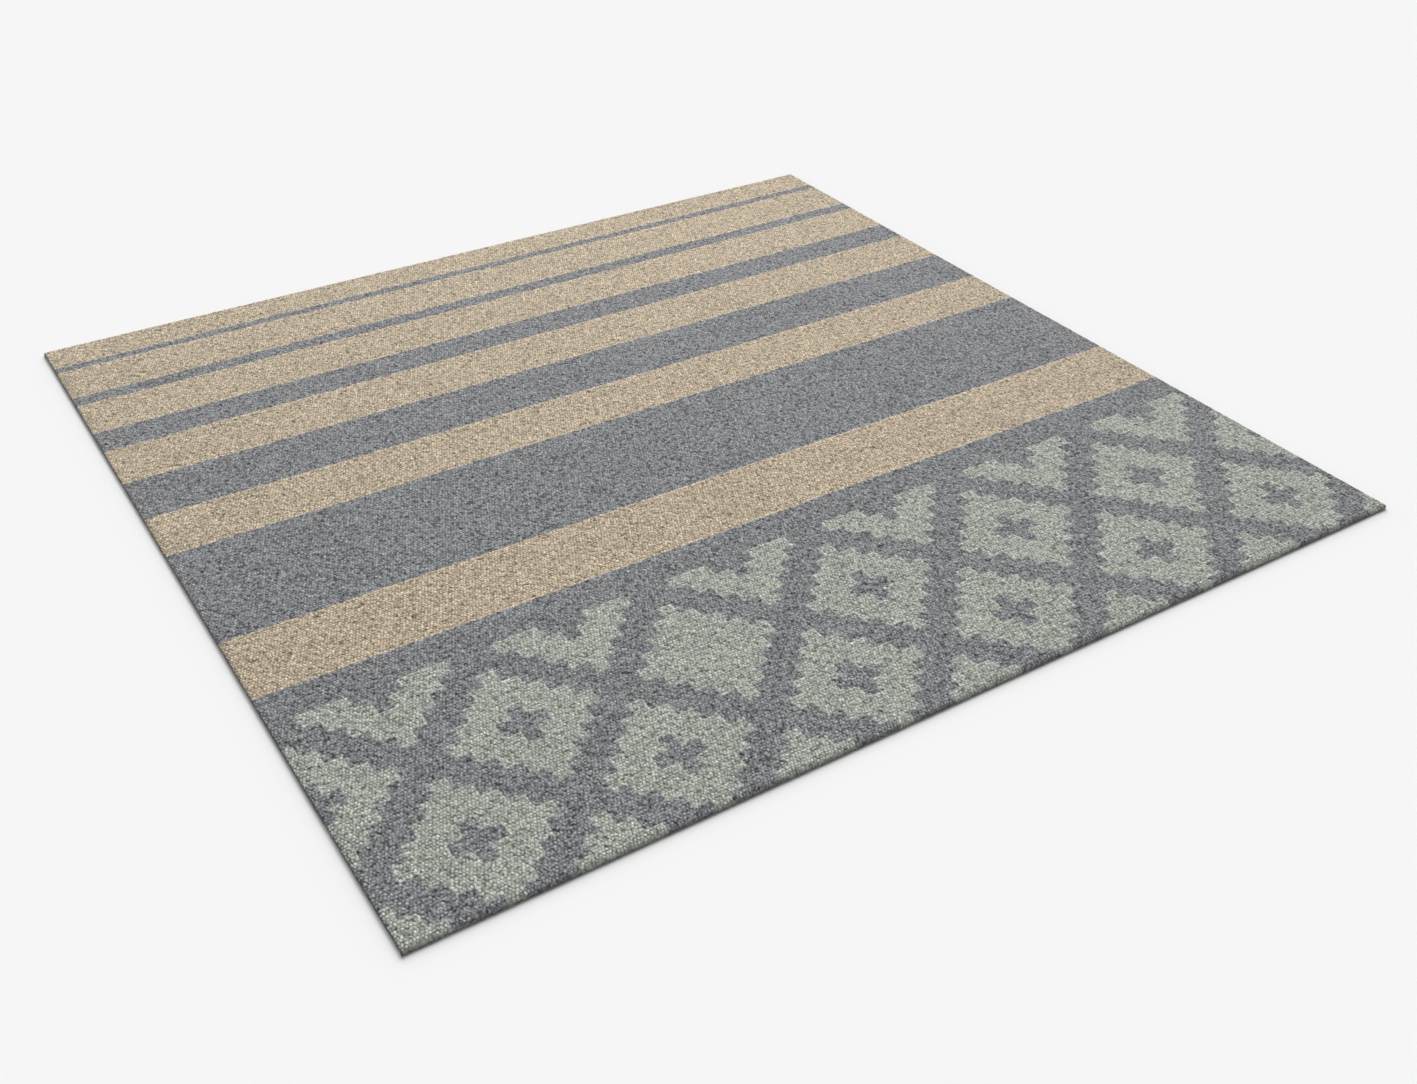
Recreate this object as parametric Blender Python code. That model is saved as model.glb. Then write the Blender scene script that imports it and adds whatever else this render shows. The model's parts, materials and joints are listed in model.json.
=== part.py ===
"""Hand-tufted wool area rug, lying flat.

Frame: the origin is on the floor under the middle of the rug, X runs along the stripes,
+Y points to the beige end, -Y to the band of stepped diamonds, and +Z is up.

From the floor up: cotton binding tape and canvas backing, latex adhesive, the tufting cloth
with its turned-under hem, and the pile. Each field of one colour of pile is a piece of its
own, tufted separately. All pieces are solids that keep GAP to their neighbours.
"""
import bmesh
import bpy

# Whole rug
WIDTH = 2.400
LENGTH = 2.350
THICKNESS = 0.014
GAP = 0.0003

# Layers under the pile
TAPE_THICK = 0.0008
TAPE_WIDTH = 0.050
TAPE_INSET = 0.003
CANVAS_THICK = 0.0008
CLOTH_THICK = 0.0008
CLOTH_INSET = 0.002
HEM_REACH = 0.034
LATEX_THICK = 0.0010

# Heights, floor upwards
LAP_LOW = TAPE_THICK + GAP
LAP_HIGH = LAP_LOW + max(CANVAS_THICK, CLOTH_THICK)
LATEX_LOW = LAP_HIGH + GAP
LATEX_HIGH = LATEX_LOW + LATEX_THICK
CLOTH_LOW = LATEX_HIGH + GAP
CLOTH_HIGH = CLOTH_LOW + CLOTH_THICK
PILE_LOW = CLOTH_HIGH + GAP
PILE_HIGH = THICKNESS

# Stripes, from the +Y end: colour and width. The diamond band takes the rest of the length.
STRIPES = (
    ("beige", 0.110),
    ("grey", 0.030),
    ("beige", 0.152),
    ("grey", 0.047),
    ("beige", 0.154),
    ("grey", 0.099),
    ("beige", 0.163),
    ("grey", 0.172),
    ("beige", 0.164),
    ("grey", 0.352),
    ("beige", 0.199),
)
BAND_LENGTH = LENGTH - sum(width for colour, width in STRIPES)

# Stepped diamonds: the pattern is drawn on a grid of cells, counted from the middle cell
# of the front row's first diamond, which lies this far from the rug's -X and -Y edges.
CELL_X = 0.03365
CELL_Y = 0.03740
FIRST_X = 0.2065
FIRST_Y = 0.1530
DIAMOND_REACH = 4
CROSS_REACH = 1
PITCH = 12
CUT_ROW = PITCH

# Rows of diamonds: name, row of the middle cells, first column, how many, and the diamonds
# whose cross is left out.
DIAMOND_ROWS = (
    ("front_edge", -PITCH // 2, -PITCH // 2, 7, range(1, 8)),
    ("front", 0, 0, 6, ()),
    ("middle", PITCH // 2, -PITCH // 2, 7, (3,)),
    ("back", PITCH, 0, 6, ()),
)

# Colours, 0 to 255
COLOURS = {
    "beige_wool": (184, 169, 147),
    "grey_wool": (130, 131, 134),
    "sage_wool": (159, 165, 154),
    "tufting_cloth": (206, 199, 184),
    "latex": (222, 214, 194),
    "canvas": (196, 184, 160),
    "binding_tape": (176, 164, 142),
}
CLOTH_ROUGHNESS = 0.95
LATEX_ROUGHNESS = 0.6


def clear_scene():
    for old in list(bpy.data.objects):
        bpy.data.objects.remove(old)


def linear(value):
    """One sRGB channel, 0 to 255, as the linear value that a material takes."""
    value /= 255
    return value / 12.92 if value <= 0.04045 else ((value + 0.055) / 1.055) ** 2.4


def make_material(slot):
    material = bpy.data.materials.new(slot)
    material.use_nodes = True
    shader = material.node_tree.nodes["Principled BSDF"]
    colour = tuple(linear(channel) for channel in COLOURS[slot])
    shader.inputs["Base Color"].default_value = colour + (1.0,)
    shader.inputs["Metallic"].default_value = 0.0
    roughness = LATEX_ROUGHNESS if slot == "latex" else CLOTH_ROUGHNESS
    shader.inputs["Roughness"].default_value = roughness
    material.diffuse_color = colour + (1.0,)
    return material


def add_object(name, data, slot):
    """Put one piece into the rug's collection with its material."""
    data.materials.append(materials[slot])
    piece = bpy.data.objects.new(name, data)
    rug.objects.link(piece)
    return piece


def add_mesh(name, bm, slot):
    mesh = bpy.data.meshes.new(name)
    bm.to_mesh(mesh)
    bm.free()
    return add_object(name, mesh, slot)


def slab(name, low, high, slot):
    """Rectangular block between two opposite corners."""
    bm = bmesh.new()
    bmesh.ops.create_cube(bm, size=1.0)
    bmesh.ops.scale(bm, vec=[b - a for a, b in zip(low, high)], verts=bm.verts)
    piece = add_mesh(name, bm, slot)
    piece.location = [(a + b) / 2 for a, b in zip(low, high)]
    return piece


def stepped_panel(name, section, slot):
    """Rectangular panel whose border steps through (inset, height) pairs.

    The first pair is the rim of its lower face and the last one the rim of its upper face.
    """
    def place(verts, inset, height):
        for vert in verts:
            vert.co.x = (WIDTH / 2 - inset) * (1 if vert.co.x > 0 else -1)
            vert.co.y = (LENGTH / 2 - inset) * (1 if vert.co.y > 0 else -1)
            vert.co.z = height

    bm = bmesh.new()
    bmesh.ops.create_grid(bm, x_segments=1, y_segments=1, size=1.0)
    place(bm.verts, *section[0])
    rim = bm.edges[:]
    for inset, height in section[1:]:
        made = bmesh.ops.extrude_edge_only(bm, edges=rim)["geom"]
        verts = [item for item in made if isinstance(item, bmesh.types.BMVert)]
        edges = [item for item in made if isinstance(item, bmesh.types.BMEdge)]
        rim = [edge for edge in edges if all(vert in verts for vert in edge.verts)]
        place(verts, inset, height)
    bmesh.ops.edgeloop_fill(bm, edges=rim)
    bmesh.ops.recalc_face_normals(bm, faces=bm.faces)
    return add_mesh(name, bm, slot)


def binding_tapes():
    """Four tapes round the underside: two full-width ones and two butted between them."""
    out_x, out_y = WIDTH / 2 - TAPE_INSET, LENGTH / 2 - TAPE_INSET
    in_x, in_y = out_x - TAPE_WIDTH, out_y - TAPE_WIDTH
    butt = in_y - GAP
    slab("binding_tape_front", (-out_x, -out_y, 0), (out_x, -in_y, TAPE_THICK), "binding_tape")
    slab("binding_tape_back", (-out_x, in_y, 0), (out_x, out_y, TAPE_THICK), "binding_tape")
    slab("binding_tape_left", (-out_x, -butt, 0), (-in_x, butt, TAPE_THICK), "binding_tape")
    slab("binding_tape_right", (in_x, -butt, 0), (out_x, butt, TAPE_THICK), "binding_tape")


def backing_layers():
    """Canvas lapped over the tapes, latex above it, and the hemmed tufting cloth on top."""
    tape_end = TAPE_INSET + TAPE_WIDTH
    web_out = tape_end + GAP
    web_in = web_out + CANVAS_THICK
    lap_end = HEM_REACH + GAP
    stepped_panel("canvas_backing", (
        (web_out, 0),
        (web_out, LAP_LOW),
        (lap_end, LAP_LOW),
        (lap_end, LAP_LOW + CANVAS_THICK),
        (web_in, LAP_LOW + CANVAS_THICK),
        (web_in, CANVAS_THICK),
    ), "canvas")
    fold_in = CLOTH_INSET + CLOTH_THICK
    stepped_panel("latex_adhesive", (
        (web_in + GAP, CANVAS_THICK + GAP),
        (web_in + GAP, LATEX_LOW),
        (fold_in + GAP, LATEX_LOW),
        (fold_in + GAP, LATEX_HIGH),
    ), "latex")
    stepped_panel("tufting_cloth", (
        (fold_in, CLOTH_LOW),
        (fold_in, LAP_LOW + CLOTH_THICK),
        (HEM_REACH, LAP_LOW + CLOTH_THICK),
        (HEM_REACH, LAP_LOW),
        (CLOTH_INSET, LAP_LOW),
        (CLOTH_INSET, CLOTH_HIGH),
    ), "tufting_cloth")


def striped_pile():
    """One block of pile for each stripe, from the +Y edge to the diamond band."""
    made = {"beige": 0, "grey": 0}
    high = LENGTH / 2
    for colour, width in STRIPES:
        made[colour] += 1
        low = high - width
        top = high if high == LENGTH / 2 else high - GAP / 2
        slab(
            f"{colour}_pile_stripe_{made[colour]}",
            (-WIDTH / 2, low + GAP / 2, PILE_LOW),
            (WIDTH / 2, top, PILE_HIGH),
            f"{colour}_wool",
        )
        high = low


def grid_line(index, first, cell, length):
    """Distance of a grid line from the rug's edge: line 0 is the low side of cell 0.

    Lines off the rug are brought back to just outside it, so that the clearance that
    every outline loses ends exactly at the rug's edge.
    """
    place = first + (index - 0.5) * cell
    if place <= 0:
        return -GAP / 2
    if place >= length:
        return length + GAP / 2
    return place


def grid_x(column):
    return grid_line(column, FIRST_X, CELL_X, WIDTH) - WIDTH / 2


def grid_y(row):
    """The band's upper end is a stripe's edge, where the outline loses its clearance."""
    place = FIRST_Y + (row - 0.5) * CELL_Y
    if place >= BAND_LENGTH:
        return BAND_LENGTH - LENGTH / 2
    return grid_line(row, FIRST_Y, CELL_Y, LENGTH) - LENGTH / 2


def band_range(first, cell, length):
    """Numbers of the cells that reach onto a length that starts at the rug's edge."""
    low = 0
    while first + (low - 0.5) * cell > 0:
        low -= 1
    high = 0
    while first + (high + 0.5) * cell < length:
        high += 1
    return range(low, high + 1)


def sort_cells():
    """Give each cell of the band to a diamond, a cross or the ground."""
    cells = {"grey_pile_ground": []}
    diamonds = []
    for row_name, row, first_column, count, plain in DIAMOND_ROWS:
        for number in range(1, count + 1):
            column = first_column + PITCH * (number - 1)
            diamonds.append((f"{row_name}_{number}", column, row, number not in plain))
    for column in band_range(FIRST_X, CELL_X, WIDTH):
        for row in band_range(FIRST_Y, CELL_Y, BAND_LENGTH):
            owner = "grey_pile_ground"
            for name, middle_column, middle_row, crossed in diamonds:
                steps = abs(column - middle_column) + abs(row - middle_row)
                if steps > DIAMOND_REACH or row > CUT_ROW:
                    continue
                if steps > CROSS_REACH or not crossed:
                    owner = f"sage_pile_diamond_{name}"
                elif middle_row < CUT_ROW:
                    owner = f"grey_pile_cross_{name}"
            cells.setdefault(owner, []).append((column, row))
    return cells


def outlines(cells):
    """Closed loops of grid corners round a set of cells, the cells on the loop's left."""
    cells = set(cells)
    follow = {}
    for column, row in cells:
        corners = ((column, row), (column + 1, row), (column + 1, row + 1), (column, row + 1))
        beyond = ((0, -1), (1, 0), (0, 1), (-1, 0))
        for side, (step_x, step_y) in enumerate(beyond):
            if (column + step_x, row + step_y) not in cells:
                follow[corners[side]] = corners[(side + 1) % 4]
    loops = []
    while follow:
        start = min(follow)
        loop = [start]
        corner = follow.pop(start)
        while corner != start:
            loop.append(corner)
            corner = follow.pop(corner)
        loops.append(loop)
    return loops


def direction(start, end):
    return (end[0] > start[0]) - (end[0] < start[0]), (end[1] > start[1]) - (end[1] < start[1])


def inset_loop(loop):
    """The turning corners of a loop in metres, moved half the clearance to its left."""
    points = []
    for before, corner, after in zip(loop[-1:] + loop[:-1], loop, loop[1:] + loop[:1]):
        come, leave = direction(before, corner), direction(corner, after)
        if come != leave:
            points.append((
                grid_x(corner[0]) - (come[1] + leave[1]) * GAP / 2,
                grid_y(corner[1]) + (come[0] + leave[0]) * GAP / 2,
            ))
    return points


def patterned_pile():
    """Ground, diamonds and crosses: filled outlines, extruded over the pile's height."""
    for name, cells in sort_cells().items():
        curve = bpy.data.curves.new(name, "CURVE")
        curve.dimensions = "2D"
        curve.fill_mode = "BOTH"
        curve.extrude = (PILE_HIGH - PILE_LOW) / 2
        for loop in outlines(cells):
            points = inset_loop(loop)
            spline = curve.splines.new("POLY")
            spline.points.add(len(points) - 1)
            for point, (x, y) in zip(spline.points, points):
                point.co = (x, y, 0, 1)
            spline.use_cyclic_u = True
        piece = add_object(name, curve, "sage_wool" if "sage" in name else "grey_wool")
        piece.location.z = (PILE_HIGH + PILE_LOW) / 2


clear_scene()
rug = bpy.data.collections.new("area_rug")
bpy.context.scene.collection.children.link(rug)
materials = {slot: make_material(slot) for slot in COLOURS}
binding_tapes()
backing_layers()
striped_pile()
patterned_pile()
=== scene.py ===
import json
import math

import bpy
import numpy as np
from mathutils import Matrix, Vector, noise
from mathutils.bvhtree import BVHTree
from mathutils.geometry import tessellate_polygon


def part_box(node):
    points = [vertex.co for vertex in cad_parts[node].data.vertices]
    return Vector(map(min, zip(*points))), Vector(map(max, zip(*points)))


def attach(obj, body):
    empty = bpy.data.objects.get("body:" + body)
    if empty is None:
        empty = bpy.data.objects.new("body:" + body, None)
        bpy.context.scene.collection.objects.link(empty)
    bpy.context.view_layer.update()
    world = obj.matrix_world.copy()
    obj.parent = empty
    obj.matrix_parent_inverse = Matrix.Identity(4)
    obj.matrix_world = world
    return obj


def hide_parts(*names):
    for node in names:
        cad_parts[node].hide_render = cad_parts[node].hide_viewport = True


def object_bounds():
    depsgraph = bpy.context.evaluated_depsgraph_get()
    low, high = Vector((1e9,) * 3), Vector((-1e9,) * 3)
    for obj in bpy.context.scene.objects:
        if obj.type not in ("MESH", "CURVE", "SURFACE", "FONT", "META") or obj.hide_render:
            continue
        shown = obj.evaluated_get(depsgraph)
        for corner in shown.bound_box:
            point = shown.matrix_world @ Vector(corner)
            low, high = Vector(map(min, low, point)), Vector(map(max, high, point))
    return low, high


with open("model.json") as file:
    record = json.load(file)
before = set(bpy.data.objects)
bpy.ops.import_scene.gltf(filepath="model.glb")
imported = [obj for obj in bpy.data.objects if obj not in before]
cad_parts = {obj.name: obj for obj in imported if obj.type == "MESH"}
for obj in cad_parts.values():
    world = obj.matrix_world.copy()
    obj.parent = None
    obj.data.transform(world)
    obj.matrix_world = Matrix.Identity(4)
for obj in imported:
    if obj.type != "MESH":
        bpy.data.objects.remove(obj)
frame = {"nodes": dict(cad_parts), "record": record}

cad_low, cad_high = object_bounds()
rng = np.random.default_rng(20)

# Camera, from the rug's -X and -Y edges and the floor, in metres and degrees
CAMERA_LEFT = 0.4632
CAMERA_FRONT = 1.5965
CAMERA_HEIGHT = 1.9130
CAMERA_HEADING = 32.87
CAMERA_TILT = 34.93
CAMERA_ROLL = 0.51
CAMERA_LENS = 38.77

# Studio light: a wide soft lamp overhead, a smaller one above the far right of the rug, a
# weak fill from above and a pale horizon. LIGHT_ALL is what the first and the fill give a
# level surface, LAMP_LIGHT what the second adds right under it, and FLOOR_TONE the floor's
# tone in the picture
SUN_STRENGTH = 3.39
SUN_WIDTH = 60
SUN_FROM_FAR = 40
SUN_FROM_RIGHT = 28
SKY_PALE = 0.90
SKY_FILL = 0.10
SKY_LOW = 0.25
SKY_HIGH = 0.45
LAMP_POWER = 179
LAMP_PLACE = (0.9, 1.5, 3.2)
LAMP_RADIUS = 0.7
LIGHT_ALL = 0.93
LAMP_LIGHT = 0.42
FLOOR_TONE = 0.9216
FLOOR_HALF = 30
FLOOR_DROP = 0.0003

# Tufts: the pitch along a row and of the rows, and the zigzag where rows nest. A field's
# width is rounded to whole tufts, slightly upwards. Outlines closer than SAME_LINE are one
# seam. Corners wobble, less so on seams, and two fields are FIELD_GAP from their seam.
# OWNER_WOBBLE is for tufts that straddle a seam, so that they go to either side
TUFT_PITCH = 0.0067
ROW_PITCH = 0.0075
ROUND_UP = 0.15
NEST = 0.0011
SAME_LINE = 0.001
WOBBLE = 0.0011
SEAM_WOBBLE = 0.0002
FIELD_GAP = 0.00005
OWNER_WOBBLE = 0.0006

# Tufts' tops: uneven heights, a slow swell, slanted and oval, and the crevices between them,
# which are shallower on a seam and deeper in a few rows from the near edge that part
UNEVEN = 0.0022
SWELL = 0.0004
SWELL_SCALE = 65
CREVICE = 0.0023
CREVICE_RANGE = (0.7, 1.3)
SEAM_DEPTH = 0.5
PARTED_ROWS = {2: 0.7, 3: 0.2, 5: 0.4}
PARTED_SCALE = 9
PARTED_MEAN = 0.6
CROWN = 0.0003
TOP_SIZE = 0.42
OVAL = 0.30
SHIFT = 0.0006
LEAN = 0.21
STEEPEST = 0.72
SHADE_LIMIT = 2.5

# A field's tufts lean out over their roots, and the rug's outer tufts are calmer and roll
# over its edge, where their crevices get more painted shade
UNDERCUT = 0.0048
ROLL = 0.0055
ROLL_DROP = 0.0048
SPLAY = 0.022
SPLAY_PAINTED_SHADE = 0.3
CALM_WIDTH = 0.020
CALMEST = 0.25

# The outer edge's rim, and the way down from there as (inset, height, painted shade as depth in the
# pile).
# It is jagged, with grooves between tufts, more so at the sides, where the rows end
EDGE_RIM = 0.0012
EDGE_RIM_DEPTH = 0.0008
EDGE_PROFILE = (
    (-0.0001, 0.0060, 0.4), (-0.0001, 0.0026, 0.8), (0.0008, 0.0006, 1.4), (0.0019, 0.0046, 1.6),
)
EDGE_STEEPEST = 1.2
EDGE_JAG = (0.0006, 0.0012)
FULL_JAG_HEIGHT = 0.003
EDGE_GROOVE = 0.0006
SIDE_GROOVE = 0.0010
# Painted shade on the outer edge: more in its grooves and on the sides, some on its rim, in random
# blotches
GROOVE_PAINTED_SHADE = 0.35
SIDE_PAINTED_SHADE = 1.2
EDGE_PAINTED_SHADE = 0.3
SHADE_BLOTCH = (0.5, 1.5)

# How deep in the pile a point is, which darkens it with painted shade: 0 at the tips
TIP_DEPTH = 0.12
CREVICE_DEPTH = 1.0
ROOT_DEPTH = 2.0

# The UV map to bake to: the gap around its strips in metres, and the band of hidden faces
# as its first and last u and v
MAP_PAD = 0.008
MAP_BAND = 0.965
HIDDEN_U = (0.05, 0.95)
HIDDEN_V = (0.975, 0.995)

# Edges that are sharper than this are shaded as creases
SHARP_ANGLE = math.radians(75)

# Wool: colours from 0 to 255, the contrast of their grain, and the texture scales and
# strengths of what the grain is made of. Then how much painted shade darkens it with depth, and how far
WOOL = {
    "beige_wool": (213, 195.5, 169),
    "grey_wool": (149, 150.5, 153),
    "sage_wool": (188, 194, 183),
}
CONTRAST = {"beige_wool": 1.0, "grey_wool": 1.35, "sage_wool": 1.0}
TUFT_STRENGTH = 0.07
FIBRE_SCALE, FIBRE_STRENGTH = 1100.0, 0.5
PLY_SCALE, PLY_STRENGTH = 200.0, 1.05
CLUMP_SCALE, CLUMP_STRENGTH = 110.0, 0.15
CLOUD_SCALE, CLOUD_STRENGTH = 6.0, 0.1
NUB_SCALE, NUB_RANDOMNESS, NUB_MEAN, NUB_STRENGTH, NUB_TONE = 160.0, 0.85, 0.46, -1.1, 0.3
DEPTH_SHADOW = 0.62
DARKEST_GRAIN = 0.15
DARKEST_SHADOW = 0.06

# Cloth and latex: colours from 0 to 255, how much longer than wide threads are, the
# tape's herringbone, and the texture scales of the cloth's mottle and the latex's smears
THREADS = {
    "canvas": (196, 184, 160),
    "tufting_cloth": (206, 199, 184),
    "binding_tape": (176, 164, 142),
}
THREAD_STRETCH = ((35, 850, 1), (850, 35, 1))
RIB_PITCH = 0.005
RIB_TURN = 0.0125
MOTTLE_SCALE = 9.0
LATEX_COLOUR = (222, 214, 194)
SMEAR_SCALE = 60.0

# The layers under the pile. Profiles are (inset, height) from the flat top round the edge
# to the flat underside, in metres from the piece's own outline and the floor
RIPPLE = 0.00008
RIPPLE_SCALE = 7
PANEL_PITCH = 0.05
TAPE_PITCH = 0.01
CANVAS_INSET = 0.0343
CANVAS_PROFILE = (
    (0.0200, 0.0008), (0.0189, 0.0010), (0.0180, 0.0017), (0.0168, 0.0019), (0.0008, 0.0019),
    (0.0001, 0.0017), (0.0000, 0.0014), (0.0006, 0.0011), (0.0170, 0.0011), (0.0184, 0.0008),
    (0.0190, 0.0001), (0.0200, 0.0000),
)
LATEX_INSET = 0.0031
LATEX_PROFILE = (
    (0.0020, 0.0032), (0.0004, 0.0032), (0.0000, 0.0029), (0.0000, 0.0024), (0.0004, 0.0022),
    (0.0500, 0.0022), (0.0512, 0.0019), (0.0518, 0.0013), (0.0530, 0.0011),
)
CLOTH_INSET = 0.0020
CLOTH_PROFILE = (
    (0.0030, 0.0043), (0.0008, 0.0043), (0.0002, 0.0040), (0.0000, 0.0034), (0.0000, 0.0018),
    (0.0003, 0.0013), (0.0009, 0.0011), (0.0318, 0.0011), (0.0320, 0.0015), (0.0318, 0.0019),
    (0.0012, 0.0019), (0.0008, 0.0022), (0.0008, 0.0031), (0.0012, 0.0035), (0.0030, 0.0035),
)
TAPE_PROFILE = (
    (0.0010, 0.0008), (0.0003, 0.0007), (0.0000, 0.0004), (0.0003, 0.0001), (0.0010, 0.0000),
)

# Stitches: half their length and width and their depth
STITCH = (0.0028, 0.0005, 0.0002)
STITCH_PITCH = 0.009
STITCH_INSET = 0.004
STITCH_SLANT = 0.0004


def linear(rgb):
    """An sRGB colour, 0 to 255, as linear values."""
    scaled = [value / 255 for value in rgb]
    return [v / 12.92 if v <= 0.04045 else ((v + 0.055) / 1.055) ** 2.4 for v in scaled]


def new_material(name):
    """A material with its shader and short ways to add nodes and sums to it."""
    material = bpy.data.materials.new(name)
    material.use_nodes = True
    tree = material.node_tree

    def node(kind, **settings):
        made = tree.nodes.new(kind)
        for key, value in settings.items():
            if key in made.inputs:
                made.inputs[key].default_value = value
            else:
                setattr(made, key, value)
        return made

    def calc(operation, first, second=None):
        made = node("ShaderNodeMath", operation=operation)
        for socket, value in zip(made.inputs, (first, second)):
            if isinstance(value, (int, float)):
                socket.default_value = value
            elif value is not None:
                tree.links.new(value, socket)
        return made.outputs[0]

    return material, tree.nodes["Principled BSDF"], tree.links.new, node, calc


def add_object(name, data):
    made = bpy.data.objects.new(name, data)
    bpy.context.scene.collection.objects.link(made)
    return made


# ---------------------------------------------------------------- camera, light and floor

def make_camera():
    data = bpy.data.cameras.new("camera")
    data.sensor_width = 36
    data.lens = CAMERA_LENS
    camera = add_object("camera", data)
    place = cad_low + Vector((-CAMERA_LEFT, -CAMERA_FRONT, CAMERA_HEIGHT))
    camera.matrix_world = (
        Matrix.Translation(place)
        @ Matrix.Rotation(math.radians(-CAMERA_HEADING), 4, "Z")
        @ Matrix.Rotation(math.radians(90 - CAMERA_TILT), 4, "X")
        @ Matrix.Rotation(math.radians(CAMERA_ROLL), 4, "Z")
    )
    bpy.context.scene.camera = camera


def make_sky():
    """White all round, pale at the horizon and weak overhead."""
    scene = bpy.context.scene
    scene.view_settings.view_transform = "Standard"
    world = bpy.data.worlds.new("studio")
    world.use_nodes = True
    tree = world.node_tree
    background = tree.nodes["Background"]
    place = tree.nodes.new("ShaderNodeTexCoord")
    split = tree.nodes.new("ShaderNodeSeparateXYZ")
    fade = tree.nodes.new("ShaderNodeMapRange")
    fade.interpolation_type = "SMOOTHSTEP"
    fade.inputs["From Min"].default_value = SKY_LOW
    fade.inputs["From Max"].default_value = SKY_HIGH
    fade.inputs["To Min"].default_value = SKY_PALE
    fade.inputs["To Max"].default_value = SKY_FILL
    tree.links.new(place.outputs["Generated"], split.inputs[0])
    tree.links.new(split.outputs["Z"], fade.inputs["Value"])
    tree.links.new(fade.outputs["Result"], background.inputs["Strength"])
    background.inputs["Color"].default_value = (1, 1, 1, 1)
    scene.world = world


def make_lamps():
    sun = bpy.data.lights.new("overhead", "SUN")
    sun.energy = SUN_STRENGTH
    sun.angle = math.radians(SUN_WIDTH)
    tilt = (math.radians(-SUN_FROM_FAR), math.radians(SUN_FROM_RIGHT), 0)
    add_object("overhead", sun).rotation_euler = tilt
    lamp = bpy.data.lights.new("far_lamp", "POINT")
    lamp.energy = LAMP_POWER
    lamp.shadow_soft_size = LAMP_RADIUS
    add_object("far_lamp", lamp).location = LAMP_PLACE


def make_floor():
    """A backdrop of one even tone: it is a little darker where the far lamp lights it."""
    mesh = bpy.data.meshes.new("floor")
    corners = [(x * FLOOR_HALF, y * FLOOR_HALF, 0) for x, y in ((-1, -1), (1, -1), (1, 1), (-1, 1))]
    mesh.from_pydata(corners, [], [(0, 1, 2, 3)])
    floor = add_object("floor", mesh)
    floor.location.z = cad_low.z - FLOOR_DROP
    material, shader, link, node, calc = new_material("floor")
    shader.inputs["Roughness"].default_value = 1.0
    shader.inputs["Specular IOR Level"].default_value = 0.0
    foot = node("ShaderNodeVectorMath", operation="DISTANCE")
    foot.inputs[1].default_value = (LAMP_PLACE[0], LAMP_PLACE[1], 0)
    link(node("ShaderNodeTexCoord").outputs["Object"], foot.inputs[0])
    height = LAMP_PLACE[2] ** 2
    spread = calc("ADD", calc("POWER", foot.outputs["Value"], 2.0), height)
    falloff = calc("POWER", calc("DIVIDE", height, spread), 1.5)
    light = calc("ADD", calc("MULTIPLY", falloff, LAMP_LIGHT), LIGHT_ALL)
    link(calc("DIVIDE", FLOOR_TONE, light), shader.inputs["Base Color"])
    mesh.materials.append(material)


# ---------------------------------------------------------------- the CAD's pile fields

def top_faces(node):
    mesh = frame["nodes"][node].data
    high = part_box(node)[1].z
    return [
        [tuple(mesh.vertices[v].co) for v in face.vertices]
        for face in mesh.polygons
        if face.normal.z > 0.9 and abs(face.center.z - high) < 1e-4
    ]


def outline(node):
    """The straight sides of a pile field seen from above, as (x0, y0, x1, y1)."""
    sides = {}
    for face in top_faces(node):
        corners = [(round(x, 5), round(y, 5)) for x, y, z in face]
        for start, end in zip(corners, corners[1:] + corners[:1]):
            sides.setdefault(frozenset((start, end)), []).append((start, end))
    return [start + end for key, uses in sides.items() if len(uses) == 1 for start, end in uses]


def marks(values, low, high):
    """Sorted lines from low to high, with those of one seam brought together."""
    merged = [[low]]
    for value in sorted(values):
        if value - merged[-1][-1] < SAME_LINE:
            merged[-1].append(value)
        else:
            merged.append([value])
    lines = [float(np.mean(group)) for group in merged]
    if high - lines[-1] < 2 * SAME_LINE:
        lines.pop()
    return [low] + lines[1:] + [high]


def divide(lines, pitch):
    """The lines, with evenly spaced ones added between them."""
    parts = []
    for low, high in zip(lines, lines[1:]):
        count = max(1, round((high - low) / pitch + ROUND_UP))
        parts.append(np.linspace(low, high, count + 1)[:-1])
    return np.concatenate(parts + [[lines[-1]]])


def nest_cells(rows, columns):
    """Corner numbers of every tuft, anticlockwise. Odd rows are shifted by half a tuft."""
    wide = 2 * columns + 1
    even = [(2 * i, 2 * i + 2) for i in range(columns)]
    odd = [(2 * i + 1, 2 * i + 3) for i in range(columns - 1)]
    odd = [(0, 1)] + odd + [(2 * columns - 1, 2 * columns)]
    cells = []
    for row in range(rows):
        for left, right in odd if row % 2 else even:
            base = row * wide
            bottom = [base + k for k in range(left, right + 1)]
            cells.append(bottom + [base + wide + k for k in range(right, left - 1, -1)])
    return cells


def nearest_on_sides(points, sides):
    """Each point moved onto the nearest of the axis-parallel sides."""
    sides = np.array(sides)
    low = np.minimum(sides[:, :2], sides[:, 2:])
    high = np.maximum(sides[:, :2], sides[:, 2:])
    moved = []
    for point in points:
        near = np.clip(point, low, high)
        moved.append(near[np.argmin(((near - point) ** 2).sum(1))])
    return np.array(moved)


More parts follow.
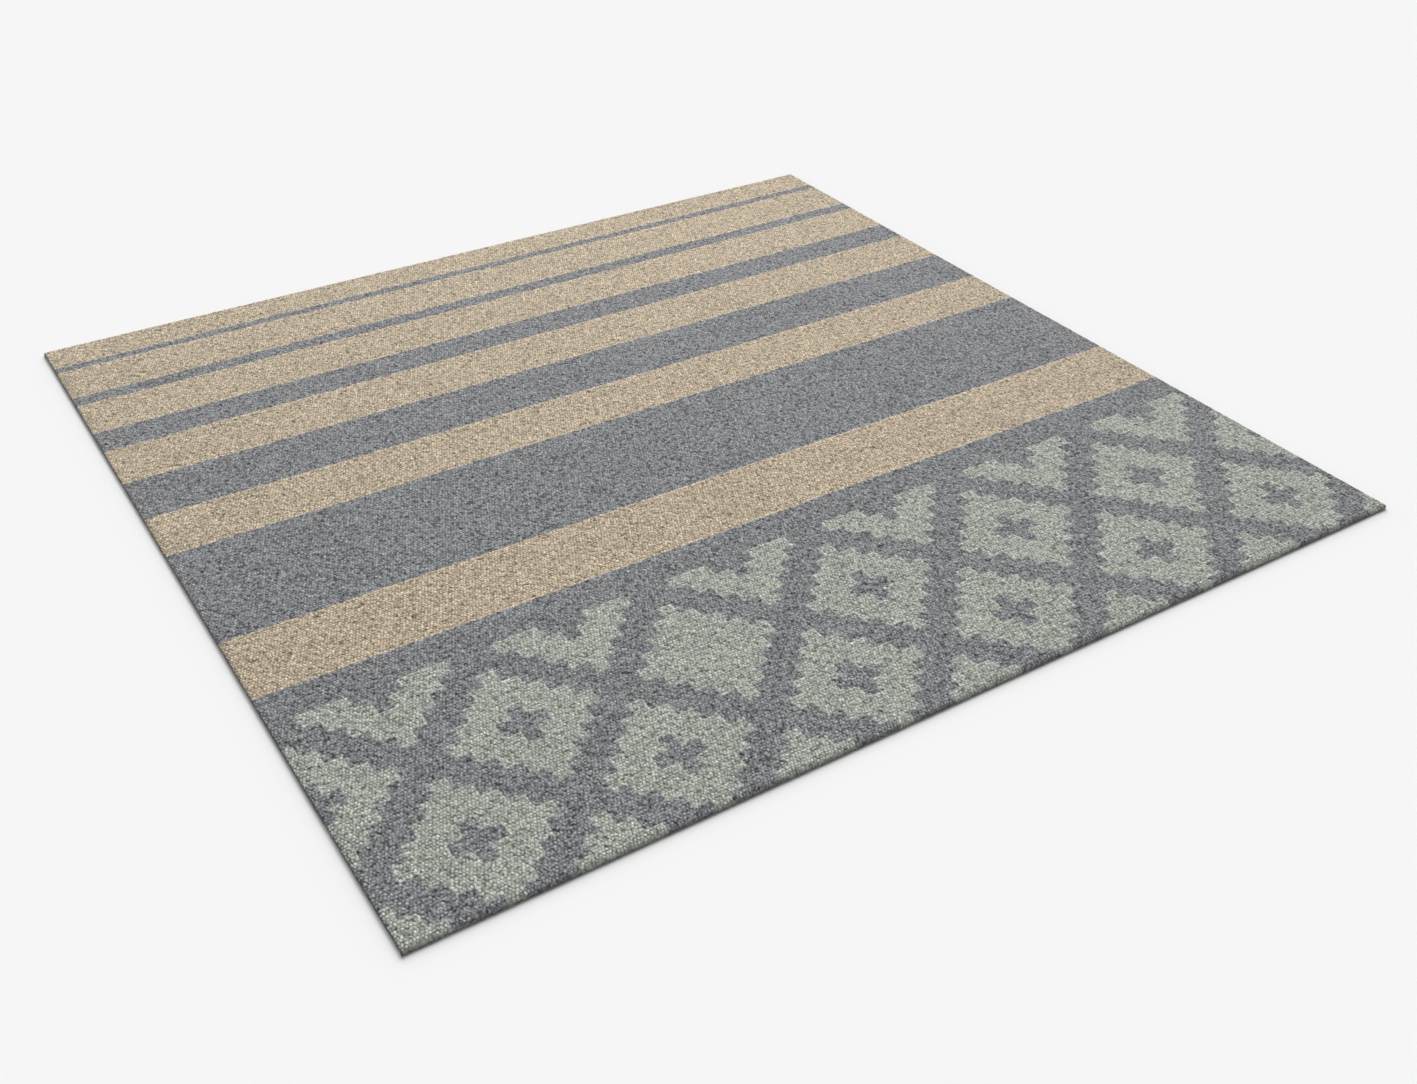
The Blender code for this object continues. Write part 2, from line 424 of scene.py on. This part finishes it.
class Pile:
    """Every tuft of the rug: its corners, its top, its shade and the field it belongs to.

    Corners are shared by the tufts that meet there and are numbered row by row. A table of
    tufts' corners lists them tuft after tuft: cell says whose each entry is.
    """

    def __init__(self, fields):
        self.fields = fields
        self.low, self.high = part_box(fields[0])[0].z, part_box(fields[0])[1].z
        sides = [side for node in fields for side in outline(node)]
        x_lines = marks([s[0] for s in sides] + [s[2] for s in sides], cad_low.x, cad_high.x)
        y_lines = marks([s[1] for s in sides] + [s[3] for s in sides], cad_low.y, cad_high.y)
        self.x = divide(x_lines, TUFT_PITCH)
        self.y = divide(y_lines, ROW_PITCH)
        self.place_corners()
        cells = nest_cells(len(self.y) - 1, len(self.x) - 1)
        self.count = np.array([len(cell) for cell in cells])
        self.first = np.cumsum(self.count) - self.count
        self.corner = np.concatenate([np.array(cell) for cell in cells])
        self.cell = np.repeat(np.arange(len(cells)), self.count)
        self.groove = np.bincount(self.corner) > 1
        self.jag[self.groove, :-1, 0] += EDGE_GROOVE
        self.jag[self.groove & self.side, :-1, 0] += SIDE_GROOVE
        self.shade_blotch = rng.uniform(*SHADE_BLOTCH, len(self.groove))
        self.give_owners()
        self.straighten_seams(sides)
        self.shape_tufts()

    def place_corners(self):
        """Where tufts' corners are, and which way is inward for those on the outer edge."""
        x = np.empty(2 * len(self.x) - 1)
        x[0::2] = self.x
        x[1::2] = (self.x[1:] + self.x[:-1]) / 2
        line, step = np.meshgrid(np.arange(len(self.y)), np.arange(len(x)), indexing="ij")
        line, step = line.ravel(), step.ravel()
        nest = np.where((line + step) % 2, -NEST, NEST)
        self.even_xy = np.column_stack([x[step], self.y[line] + nest])
        wobble = rng.normal(0, WOBBLE, (len(line), 2))
        self.xy = self.even_xy + np.clip(wobble, -2 * WOBBLE, 2 * WOBBLE)
        self.line = line
        last_step, last_line = len(x) - 1, len(self.y) - 1
        inward_x = (step == 0).astype(int) - (step == last_step)
        inward_y = (line == 0).astype(int) - (line == last_line)
        self.way = np.column_stack([inward_x, inward_y])
        self.side = inward_x != 0
        for axis, low, high in ((0, cad_low.x, cad_high.x), (1, cad_low.y, cad_high.y)):
            edge = self.way[:, axis] != 0
            rims = np.where(self.way[edge, axis] > 0, low + EDGE_RIM, high - EDGE_RIM)
            self.xy[edge, axis] = rims
        self.edge = self.way.any(1)
        self.jag = rng.uniform(-1, 1, (len(line), len(EDGE_PROFILE), 2)) * EDGE_JAG
        self.jag[:, -1] = 0

    def middles(self, values):
        """The mean of each tuft's corners."""
        total = np.add.reduceat(values[self.corner], self.first, axis=0)
        return total / (self.count[:, None] if values.ndim > 1 else self.count)

    def give_owners(self):
        """A tuft belongs to the field that lies under its middle."""
        points, faces, owner = [], [], []
        for number, node in enumerate(self.fields):
            for face in top_faces(node):
                faces.append(tuple(range(len(points), len(points) + len(face))))
                points.extend(face)
                owner.append(number)
        tree = BVHTree.FromPolygons(points, faces)
        middle = self.middles(self.even_xy)
        middle += rng.uniform(-OWNER_WOBBLE, OWNER_WOBBLE, middle.shape)
        self.owner = np.empty(len(middle), int)
        for i, (x, y) in enumerate(middle.tolist()):
            hit = tree.ray_cast(Vector((x, y, 1)), Vector((0, 0, -1)))[2]
            if hit is None:
                hit = tree.find_nearest(Vector((x, y, self.high)))[2]
            self.owner[i] = owner[hit]

    def straighten_seams(self, sides):
        """Corners between two fields go onto the CAD's outline, with a slight wobble."""
        total = len(self.xy)
        lowest, highest = np.full(total, len(self.fields)), np.full(total, -1)
        np.minimum.at(lowest, self.corner, self.owner[self.cell])
        np.maximum.at(highest, self.corner, self.owner[self.cell])
        self.seam = seam = (lowest < highest) & ~self.edge
        self.xy[seam] = nearest_on_sides(self.even_xy[seam], sides)
        self.xy[seam] += rng.uniform(-SEAM_WOBBLE, SEAM_WOBBLE, (seam.sum(), 2))

    def inset(self, xy):
        """How far points are from the rug's outer edge."""
        return np.minimum(
            np.minimum(xy[:, 0] - cad_low.x, cad_high.x - xy[:, 0]),
            np.minimum(xy[:, 1] - cad_low.y, cad_high.y - xy[:, 1]),
        )

    def roll(self, xy):
        """How far the pile's surface drops near the rug's outer edge."""
        return ROLL_DROP * np.clip(1 - self.inset(xy) / ROLL, 0, 1) ** 2

    def shape_tufts(self):
        """Each tuft's top is a small uneven face; the crevices between tufts lie below it."""
        cells = len(self.first)
        middle = self.middles(self.xy)
        calm = np.clip(self.inset(middle) / CALM_WIDTH, CALMEST, 1)
        top = self.high - UNEVEN * (0.5 + calm * rng.uniform(-0.5, 0.5, cells))
        lean = rng.normal(0, LEAN, (cells, 2)) * calm[:, None]
        shift = rng.uniform(-SHIFT, SHIFT, (cells, 2))
        turn = rng.uniform(0, math.pi, cells)
        axis = np.column_stack([np.cos(turn), np.sin(turn)])
        oval = rng.uniform(-OVAL, OVAL, cells)
        self.shade = np.clip(rng.normal(0, 1, cells), -SHADE_LIMIT, SHADE_LIMIT)
        swell = [noise.noise((x * SWELL_SCALE, y * SWELL_SCALE, 0)) for x, y in self.xy.tolist()]
        swell = SWELL * np.clip(swell, -1, 1) - SWELL
        top += self.middles(swell)
        offset = (self.xy[self.corner] - middle[self.cell]) * TOP_SIZE
        along = (offset * axis[self.cell]).sum(1) * oval[self.cell]
        offset += axis[self.cell] * along[:, None]
        ring = middle[self.cell] + shift[self.cell] + offset
        slope = (offset * lean[self.cell]).sum(1)
        ring_z = top[self.cell] + slope - rng.uniform(0, CROWN, len(slope)) - self.roll(ring)
        depth = CREVICE * rng.uniform(*CREVICE_RANGE, len(self.xy))
        for line, deeper in PARTED_ROWS.items():
            row = self.line == line
            parted = [noise.noise((x * PARTED_SCALE, line, 0)) for x in self.xy[row, 0]]
            parted = np.array(parted) + PARTED_MEAN
            depth[row] *= 1 + deeper * np.clip(parted, 0, 1)
        depth[self.seam] *= SEAM_DEPTH
        depth[self.edge] = EDGE_RIM_DEPTH
        z = self.high - UNEVEN / 2 + swell - depth - self.roll(self.xy)
        run = np.linalg.norm(self.xy[self.corner] - ring, axis=1)
        low_rim = self.edge[self.corner]
        ring_z[low_rim] = np.minimum(ring_z, z[self.corner] + EDGE_STEEPEST * run)[low_rim]
        shallow = z.copy()
        np.maximum.at(shallow, self.corner, ring_z - STEEPEST * run)
        self.ring = np.column_stack([ring, ring_z])
        self.rim = np.column_stack([self.xy, np.where(self.edge, z, shallow)])

        # How much painted shade the corners get, and the points down the outer edge below them
        splay = np.clip(1 - self.inset(self.xy) / SPLAY, 0, 1)
        self.painted_shade = CREVICE_DEPTH + SPLAY_PAINTED_SHADE * splay
        self.painted_shade[self.seam] *= SEAM_DEPTH
        self.deeper = GROOVE_PAINTED_SHADE * self.groove + SIDE_PAINTED_SHADE * self.side
        self.painted_shade[self.edge] = (EDGE_PAINTED_SHADE * self.shade_blotch + self.deeper)[self.edge]

    def piece(self, number, name):
        """The closed mesh of one field: tufts, walls down to their roots and an underside."""
        mine = np.flatnonzero(self.owner == number)
        use = self.owner[self.cell] == number
        corner, cell, count = self.corner[use], self.cell[use], self.count[mine]
        first = np.cumsum(count) - count
        after = np.arange(len(corner)) + 1
        after[first + count - 1] = first
        ids, rim_at = np.unique(corner, return_inverse=True)
        rim, ring = self.rim[ids].copy(), self.ring[use]
        edge, way = self.edge[ids], self.way[ids]
        here = np.arange(len(corner))
        slopes = np.column_stack([rim_at, rim_at[after], len(rim) + after, len(rim) + here])
        polygons, owners = [slopes], [cell]
        for size in np.unique(count):
            starts = first[count == size]
            polygons.append(len(rim) + starts[:, None] + np.arange(size))
            owners.append(mine[count == size])

        # The field's border, in loops with the tufts on the left
        total = len(self.xy)
        start, end = corner, corner[after]
        border = np.flatnonzero(~np.isin(start * total + end, end * total + start))
        follow = {int(rim_at[e]): (int(rim_at[after[e]]), int(cell[e])) for e in border}
        points, plan = [rim, ring], [rim[:, :2].copy(), ring[:, :2]]
        # Painted shade for every point: least at the tufts' tops, more in the crevices and down the
        # walls
        depth = [self.painted_shade[ids], np.full(len(ring), TIP_DEPTH)]
        made = len(rim) + len(ring)
        under, walls, wall_owner, hidden = [], [], [], []
        for loop, tufts in closed_loops(follow):
            place = rim[loop][:, :2]
            inward = inward_ways(place)
            rim[loop[~edge[loop]], :2] += inward[~edge[loop]] * FIELD_GAP
            chains = []
            for v, (x, y), (in_x, in_y) in zip(loop.tolist(), place.tolist(), inward.tolist()):
                if edge[v]:
                    steps, painted_shades = self.way_down(ids[v], x, y)
                    plan.append(unrolled(rim[v], way[v], steps))
                else:
                    steps, painted_shades = [(x + in_x * UNDERCUT, y + in_y * UNDERCUT, self.low)], [ROOT_DEPTH]
                    plan.append(np.array(steps)[:, :2])
                points.append(np.array(steps))
                depth.append(np.array(painted_shades))
                chains.append([v] + list(range(made, made + len(steps))))
                made += len(steps)
            for one, other, tuft in zip(chains, chains[1:] + chains[:1], tufts):
                faces = wall_between(one, other)
                walls += faces
                wall_owner += [tuft] * len(faces)
                hidden += [min(len(one), len(other)) == 2] * len(faces)
            under.append([chain[-1] for chain in chains])

        points = np.concatenate(points)
        flat = [v for loop in under for v in loop]
        for corners in tessellate_polygon([[Vector(points[v]) for v in loop] for loop in under]):
            a, b, c = (flat[v] for v in corners)
            (ax, ay), (bx, by), (cx, cy) = points[[a, b, c], :2].tolist()
            faces_up = (bx - ax) * (cy - ay) > (by - ay) * (cx - ax)
            walls.append([a, c, b] if faces_up else [a, b, c])
            wall_owner.append(mine[0])
            hidden.append(True)

        mesh = mesh_of(name, points, polygons, walls)
        owners = np.concatenate(owners + [np.array(wall_owner, int)])
        attribute(mesh, "tuft_shade", "FACE", self.shade[owners])
        attribute(mesh, "painted_shade_depth", "POINT", np.concatenate(depth))
        hidden = np.array([False] * (len(owners) - len(hidden)) + hidden)
        bake_map(mesh, np.concatenate(plan), hidden)
        return add_object(name, mesh)

    def way_down(self, corner, x, y):
        """Points below a corner on the outer edge, down and under it, and the painted shade there."""
        steps = []
        for (inset, height, painted_shade), (more_in, more_up) in zip(EDGE_PROFILE, self.jag[corner]):
            reach = inset + more_in - EDGE_RIM
            up = cad_low.z + height + more_up * min(1, height / FULL_JAG_HEIGHT)
            in_x, in_y = self.way[corner] * reach
            steps.append((x + in_x, y + in_y, up))
        # Painted shade down the edge, in the tuft's blotch, more in grooves and on the sides
        shade_blotch, deeper = self.shade_blotch[corner], self.deeper[corner]
        return steps, [painted_shade * shade_blotch + deeper for inset, height, painted_shade in EDGE_PROFILE]


def closed_loops(follow):
    """Loops of points with the tufts beside them, from each point's next point and tuft."""
    while follow:
        v = next(iter(follow))
        loop, tufts = [], []
        while v in follow:
            loop.append(v)
            v, tuft = follow.pop(v)
            tufts.append(tuft)
        yield np.array(loop), tufts


def inward_ways(loop):
    """Smoothed unit vectors to the left of a closed loop of points."""
    way = np.roll(loop, -1, 0) - np.roll(loop, 1, 0)
    way = np.column_stack([-way[:, 1], way[:, 0]])
    for _ in range(2):
        way = unit(way)
        way = np.roll(way, 1, 0) + 2 * way + np.roll(way, -1, 0)
    return unit(way)


def unit(vectors):
    return vectors / np.maximum(np.linalg.norm(vectors, axis=1), 1e-9)[:, None]


def wall_between(one, other):
    """Faces between two chains of points that go down from neighbouring corners."""
    if len(one) != len(other):
        return [other[:1] + one + other[:0:-1]]
    return [[d, a, b, c] for a, b, c, d in zip(one, one[1:], other[1:], other)]


def unrolled(start, way, steps):
    """Where points down the rug's outer edge would lie if the edge was rolled out flat."""
    flat, gone, last = [], 0, start
    for step in steps:
        gone += math.dist(last, step)
        flat.append((start[0] - way[0] * gone, start[1] - way[1] * gone))
        last = step
    return np.array(flat)


def attribute(mesh, name, domain, values):
    """Store one number or one vector for each point or face."""
    kind, field = ("FLOAT", "value") if values.ndim == 1 else ("FLOAT_VECTOR", "vector")
    data = mesh.attributes.new(name, kind, domain).data
    data.foreach_set(field, values.ravel().astype(np.float32))


def bake_map(mesh, plan, hidden):
    """The UV map to bake to. What shows fills it, laid out flat and cut into
    a few strips where the piece is long. Hidden faces get a narrow band along the top."""
    starts, sizes = np.empty(len(mesh.polygons), int), np.empty(len(mesh.polygons), int)
    corners = np.empty(len(mesh.loops), int)
    mesh.polygons.foreach_get("loop_start", starts)
    mesh.polygons.foreach_get("loop_total", sizes)
    mesh.loops.foreach_get("vertex_index", corners)
    low, high = plan.min(0), plan.max(0)
    wide, tall = high - low
    place = plan[corners] - low
    if tall > wide:
        wide, tall = tall, wide
        place = place[:, ::-1]
    strips = max(1, round(math.sqrt(wide / tall)))
    length = wide / strips
    middle = np.add.reduceat(place[:, 0], starts) / sizes
    strip = np.clip(middle // length, 0, strips - 1)
    side = max(length + 2 * MAP_PAD, strips * (tall + MAP_PAD) + MAP_PAD)
    u = (place[:, 0] - np.repeat(strip * length, sizes) + MAP_PAD) / side
    v = (place[:, 1] + np.repeat(strip, sizes) * (tall + MAP_PAD) + MAP_PAD) / side
    tucked = np.repeat(hidden, sizes)
    u = np.where(tucked, HIDDEN_U[0] + (HIDDEN_U[1] - HIDDEN_U[0]) * place[:, 0] / wide, u)
    band = HIDDEN_V[0] + (HIDDEN_V[1] - HIDDEN_V[0]) * place[:, 1] / tall
    v = np.where(tucked, band, v * MAP_BAND)
    layer = mesh.uv_layers.new(name="OFBake")
    layer.data.foreach_set("uv", np.column_stack([u, v]).ravel().astype(np.float32))


def mesh_of(name, points, tables, rest):
    """A mesh from tables of same-sized faces and a list of any others."""
    sizes = [np.full(len(table), table.shape[1]) for table in tables]
    sizes = np.concatenate(sizes + [np.array([len(face) for face in rest], int)])
    corners = [table.ravel() for table in tables]
    corners = np.concatenate(corners + [np.array([v for face in rest for v in face], int)])
    mesh = bpy.data.meshes.new(name)
    mesh.vertices.add(len(points))
    mesh.vertices.foreach_set("co", points.ravel().astype(np.float32))
    mesh.loops.add(len(corners))
    mesh.loops.foreach_set("vertex_index", corners.astype(np.int32))
    mesh.polygons.add(len(sizes))
    mesh.polygons.foreach_set("loop_start", (np.cumsum(sizes) - sizes).astype(np.int32))
    mesh.update(calc_edges=True)
    mesh.shade_smooth()
    mesh.set_sharp_from_angle(angle=SHARP_ANGLE)
    return mesh


# ---------------------------------------------------------------- the layers under the pile

def layer(low, high, profile, pitch, top_shows):
    """A thin closed layer: its points, its faces, its points laid flat and its hidden faces."""
    size = high - low
    columns, rows = (max(2, round(side / pitch) + 1) for side in size)
    s, t = np.meshgrid(np.linspace(0, 1, columns), np.linspace(0, 1, rows))
    grid = np.arange(rows * columns).reshape(rows, columns)
    loop = np.concatenate([grid[0, :-1], grid[:-1, -1], grid[-1, :0:-1], grid[:0:-1, 0]])
    run = np.cumsum([0] + [math.dist(a, b) for a, b in zip(profile, profile[1:])])
    run = run if top_shows else run[-1] - run
    start = profile[0 if top_shows else -1][0]
    points, plan, rings, made = [], [], [], 0
    for number, (inset, height) in enumerate(profile):
        flat = number in (0, len(profile) - 1)
        part = np.column_stack([s.ravel(), t.ravel()])[slice(None) if flat else loop]
        place = low + inset + part * (size - 2 * inset)
        sway = [noise.noise((x * RIPPLE_SCALE, y * RIPPLE_SCALE, 3)) for x, y in place.tolist()]
        points.append(np.column_stack([place, cad_low.z + height + RIPPLE * np.array(sway)]))
        reach = start - run[number]
        plan.append(low + reach + part * (size - 2 * reach))
        rings.append(made + (loop if flat else np.arange(len(loop))))
        made += len(part)
    around = (grid[:-1, :-1], grid[:-1, 1:], grid[1:, 1:], grid[1:, :-1])
    quads = np.column_stack([part.ravel() for part in around])
    bottom = quads[:, ::-1] + made - grid.size
    faces, hidden = [quads, bottom], [not top_shows] * len(quads) + [top_shows] * len(quads)
    for upper, lower in zip(rings, rings[1:]):
        faces.append(np.column_stack([upper, lower, np.roll(lower, -1), np.roll(upper, -1)]))
        hidden += [False] * len(loop)
    return np.concatenate(points), faces, np.concatenate(plan), np.array(hidden)


def stitches(low, high, along):
    """Two rows of stitches on a tape's underside, each stitch a small slanted lens."""
    length, width, depth = STITCH
    across = 1 - along
    points, faces = [], []
    for edge in (low[across] + STITCH_INSET, high[across] - STITCH_INSET):
        ends = low[along] + 2 * STITCH_PITCH, high[along] - 2 * STITCH_PITCH
        for middle in np.arange(*ends, STITCH_PITCH):
            base, slant = len(points), rng.uniform(-STITCH_SLANT, STITCH_SLANT)
            corners = (
                (-length, -slant, 0), (0, -width, 0), (length, slant, 0), (0, width, 0),
                (0, 0, -depth), (0, 0, depth),
            )
            for on, off, drop in corners:
                place = [0, 0, cad_low.z + drop]
                place[along], place[across] = middle + on, edge + off
                points.append(place)
            for k in range(4):
                one, other = base + k, base + (k + 1) % 4
                sides = ((other, one, base + 4), (one, other, base + 5))
                faces.extend(side if along == 0 else side[::-1] for side in sides)
    return np.array(points), np.array(faces)


def add_layer(node, low, high, profile, pitch, top_shows=False, stitched=False):
    """The visual piece of a CAD layer, with its woven directions and its map."""
    low, high = np.array(low[:2]), np.array(high[:2])
    along = int(high[1] - low[1] > high[0] - low[0])
    points, faces, plan, hidden = layer(low, high, profile, pitch, top_shows)
    if stitched:
        more, sides = stitches(low, high, along)
        faces.append(sides + len(points))
        hidden = np.concatenate([hidden, np.full(len(sides), True)])
        points, plan = np.concatenate([points, more]), np.concatenate([plan, more[:, :2]])
    name = node + "_sheet"
    mesh = mesh_of(name, points, faces, [])
    weave = np.column_stack([plan[:, along], plan[:, 1 - along], np.zeros(len(plan))])
    attribute(mesh, "weave", "POINT", weave)
    bake_map(mesh, plan, hidden)
    return add_object(name, mesh)


# ---------------------------------------------------------------- materials

def wool(slot):
    """Short twisted wool pile: uneven from tuft to tuft, with painted shade darker down between the
    tufts.
    """
    material, shader, link, node, calc = new_material(slot)
    shader.inputs["Roughness"].default_value = 0.95
    shader.inputs["Specular IOR Level"].default_value = 0.15
    shader.inputs["Sheen Weight"].default_value = 0.30
    shader.inputs["Sheen Roughness"].default_value = 0.5
    tuft = node("ShaderNodeAttribute", attribute_name="tuft_shade").outputs["Fac"]
    depth = node("ShaderNodeAttribute", attribute_name="painted_shade_depth").outputs["Fac"]
    place = node("ShaderNodeTexCoord").outputs["Object"]
    fibre = node("ShaderNodeTexNoise", Scale=FIBRE_SCALE, Detail=1.0)
    ply = node("ShaderNodeTexNoise", Scale=PLY_SCALE, Detail=0.0)
    clump = node("ShaderNodeTexNoise", Scale=CLUMP_SCALE, Detail=0.0)
    cloud = node("ShaderNodeTexNoise", Scale=CLOUD_SCALE, Detail=2.0)
    nub = node("ShaderNodeTexVoronoi", Scale=NUB_SCALE, Randomness=NUB_RANDOMNESS)
    for texture in (fibre, ply, clump, cloud, nub):
        link(place, texture.inputs["Vector"])

    # The grain: each part by its mean and its strength
    light = calc("ADD", calc("MULTIPLY", tuft, TUFT_STRENGTH * CONTRAST[slot]), 1.0)
    uneven = (
        (fibre.outputs["Fac"], 0.5, FIBRE_STRENGTH),
        (ply.outputs["Fac"], 0.5, PLY_STRENGTH),
        (clump.outputs["Fac"], 0.5, CLUMP_STRENGTH),
        (cloud.outputs["Fac"], 0.5, CLOUD_STRENGTH),
        # The nubs' distance is grain and also painted shade, darker in the gaps between yarn ends
        (nub.outputs["Distance"], NUB_MEAN, NUB_STRENGTH),
        (nub.outputs["Color"], 0.5, NUB_TONE),
    )
    for value, mean, strength in uneven:
        offset = calc("SUBTRACT", value, mean)
        light = calc("ADD", light, calc("MULTIPLY", offset, strength * CONTRAST[slot]))
    # Painted shade: the deeper in the pile, the darker the wool
    shadow = calc("SUBTRACT", 1.0, calc("MULTIPLY", depth, DEPTH_SHADOW))
    light = calc("MAXIMUM", light, DARKEST_GRAIN)
    light = calc("MULTIPLY", light, calc("MAXIMUM", shadow, DARKEST_SHADOW))
    mix = node("ShaderNodeVectorMath", operation="SCALE")
    mix.inputs[0].default_value = linear(WOOL[slot])
    link(light, mix.inputs["Scale"])
    link(mix.outputs[0], shader.inputs["Base Color"])

    bump = node("ShaderNodeBump", Strength=0.6, Distance=0.0008)
    height = calc("SUBTRACT", calc("MULTIPLY", fibre.outputs["Fac"], 0.5), nub.outputs["Distance"])
    link(height, bump.inputs["Height"])
    link(bump.outputs[0], shader.inputs["Normal"])
    return material


def woven(slot):
    """Cloth with uneven threads both ways. The binding tape's are in a herringbone."""
    material, shader, link, node, calc = new_material(slot)
    shader.inputs["Roughness"].default_value = 0.92
    shader.inputs["Specular IOR Level"].default_value = 0.2
    weave = node("ShaderNodeAttribute", attribute_name="weave").outputs["Vector"]
    threads = []
    for stretch in THREAD_STRETCH:
        scaled = node("ShaderNodeVectorMath", operation="MULTIPLY")
        scaled.inputs[1].default_value = stretch
        link(weave, scaled.inputs[0])
        thread = node("ShaderNodeTexNoise", Scale=1.0, Detail=1.0)
        link(scaled.outputs[0], thread.inputs["Vector"])
        threads.append(thread.outputs["Fac"])
    height = calc("ADD", *threads)
    if slot == "binding_tape":
        split = node("ShaderNodeSeparateXYZ")
        link(weave, split.inputs[0])
        slope = calc("ADD", split.outputs["X"], calc("PINGPONG", split.outputs["Y"], RIB_TURN))
        rib = calc("SINE", calc("MULTIPLY", slope, math.tau / RIB_PITCH))
        rib = calc("ADD", calc("MULTIPLY", rib, 0.25), 0.5)
        height = calc("ADD", calc("MULTIPLY", height, 0.5), rib)
    mottle = node("ShaderNodeTexNoise", Scale=MOTTLE_SCALE, Detail=3.0)
    link(weave, mottle.inputs["Vector"])
    light = calc("ADD", calc("MULTIPLY", calc("SUBTRACT", height, 1.0), 0.5), 1.0)
    spots = calc("MULTIPLY", calc("SUBTRACT", mottle.outputs["Fac"], 0.5), 0.2)
    shade = node("ShaderNodeVectorMath", operation="SCALE")
    shade.inputs[0].default_value = linear(THREADS[slot])
    link(calc("ADD", light, spots), shade.inputs["Scale"])
    link(shade.outputs[0], shader.inputs["Base Color"])
    bump = node("ShaderNodeBump", Strength=0.7, Distance=0.0005)
    link(height, bump.inputs["Height"])
    link(bump.outputs[0], shader.inputs["Normal"])
    return material


def latex():
    """Spread latex: slightly glossy, uneven and mottled."""
    material, shader, link, node, calc = new_material("latex")
    smear = node("ShaderNodeTexNoise", Scale=SMEAR_SCALE, Detail=4.0)
    link(node("ShaderNodeTexCoord").outputs["Object"], smear.inputs["Vector"])
    uneven = calc("MULTIPLY", smear.outputs["Fac"], 0.3)
    shade = node("ShaderNodeVectorMath", operation="SCALE")
    shade.inputs[0].default_value = linear(LATEX_COLOUR)
    link(calc("ADD", uneven, 0.85), shade.inputs["Scale"])
    link(shade.outputs[0], shader.inputs["Base Color"])
    link(calc("ADD", uneven, 0.45), shader.inputs["Roughness"])
    bump = node("ShaderNodeBump", Strength=0.5, Distance=0.0006)
    link(smear.outputs["Fac"], bump.inputs["Height"])
    link(bump.outputs[0], shader.inputs["Normal"])
    return material


# ---------------------------------------------------------------- build

def fit(piece, node):
    """Give a visual piece its material and let it stand in for a CAD node."""
    piece.data.materials.append(looks[slots[node]])
    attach(piece, "root")
    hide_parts(node)
    return piece


def panel(node, inset, profile, top_shows=False):
    """The visual piece of a layer that is as large as the rug less an inset."""
    low, high = np.array(cad_low[:2]) + inset, np.array(cad_high[:2]) - inset
    return fit(add_layer(node, low, high, profile, PANEL_PITCH, top_shows), node)


make_camera()
make_sky()
make_lamps()
make_floor()
slots = {part["node"]: part["material_slot"] for part in frame["record"]["subparts"]}
looks = {slot: wool(slot) for slot in WOOL}
looks.update({slot: woven(slot) for slot in THREADS})
looks["latex"] = latex()

fields = sorted(n for n in frame["nodes"] if "_pile_" in n)
pile = Pile(fields)
tufts = [fit(pile.piece(n, node.replace("_pile_", "_tufts_")), node) for n, node in enumerate(fields)]
adhesive = panel("latex_adhesive", LATEX_INSET, LATEX_PROFILE)
cloth = panel("tufting_cloth", CLOTH_INSET, CLOTH_PROFILE, top_shows=True)
canvas = panel("canvas_backing", CANVAS_INSET, CANVAS_PROFILE)
for side in ("front", "back", "left", "right"):
    node = "binding_tape_" + side
    fit(add_layer(node, *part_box(node), TAPE_PROFILE, TAPE_PITCH, stitched=True), node)
